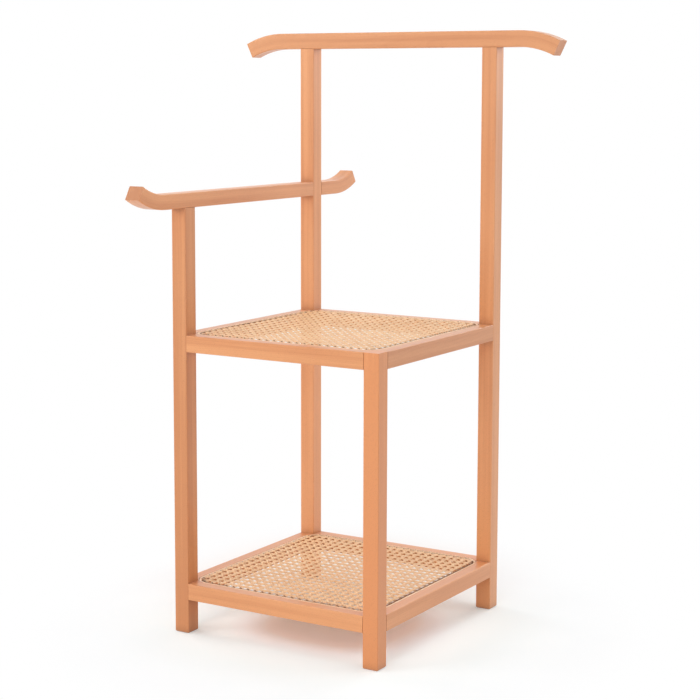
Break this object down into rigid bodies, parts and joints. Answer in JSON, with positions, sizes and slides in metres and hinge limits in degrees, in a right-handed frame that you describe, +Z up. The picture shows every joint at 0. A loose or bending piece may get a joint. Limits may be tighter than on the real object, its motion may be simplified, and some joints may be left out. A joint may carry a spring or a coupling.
{
  "type": "clothes valet chair",
  "caption": "Open square-post wooden clothes valet chair with a cane seat, a cane shelf below, an upswept side arm and a drooping hanger bar on top.",
  "frame": {"origin": "on the floor, in the middle of the four feet", "axes": "+X along the hanger bar, to the right as seen from the front; +Y to the back; +Z up"},
  "size_m": [0.6344, 0.6604, 1.013],
  "materials": {
    "beech": "satin clear lacquer",
    "cane": "natural cane strands, semi-gloss outer skin",
    "reed": "natural reed, matt",
    "dowel": "plain turned beech"
  },
  "bodies": {
    "root": {"front_left_post": "beech", "front_right_post": "beech", "rear_left_post": "beech", "rear_right_post": "beech", "seat_front_rail": "beech", "seat_rear_rail": "beech", "seat_left_rail": "beech", "seat_right_rail": "beech", "shelf_front_rail": "beech", "shelf_rear_rail": "beech", "shelf_left_rail": "beech", "shelf_right_rail": "beech", "arm_rail": "beech", "hanger_rail": "beech", "seat_corner_blocks": "beech", "shelf_corner_blocks": "beech", "seat_cane_warp": "cane", "seat_cane_weft": "cane", "seat_cane_rising": "cane", "seat_cane_falling": "cane", "shelf_cane_warp": "cane", "shelf_cane_weft": "cane", "shelf_cane_rising": "cane", "shelf_cane_falling": "cane", "seat_spline": "reed", "shelf_spline": "reed", "seat_dowels": "dowel", "shelf_dowels": "dowel", "arm_dowels": "dowel", "hanger_dowels": "dowel"}
  },
  "joints": []
}
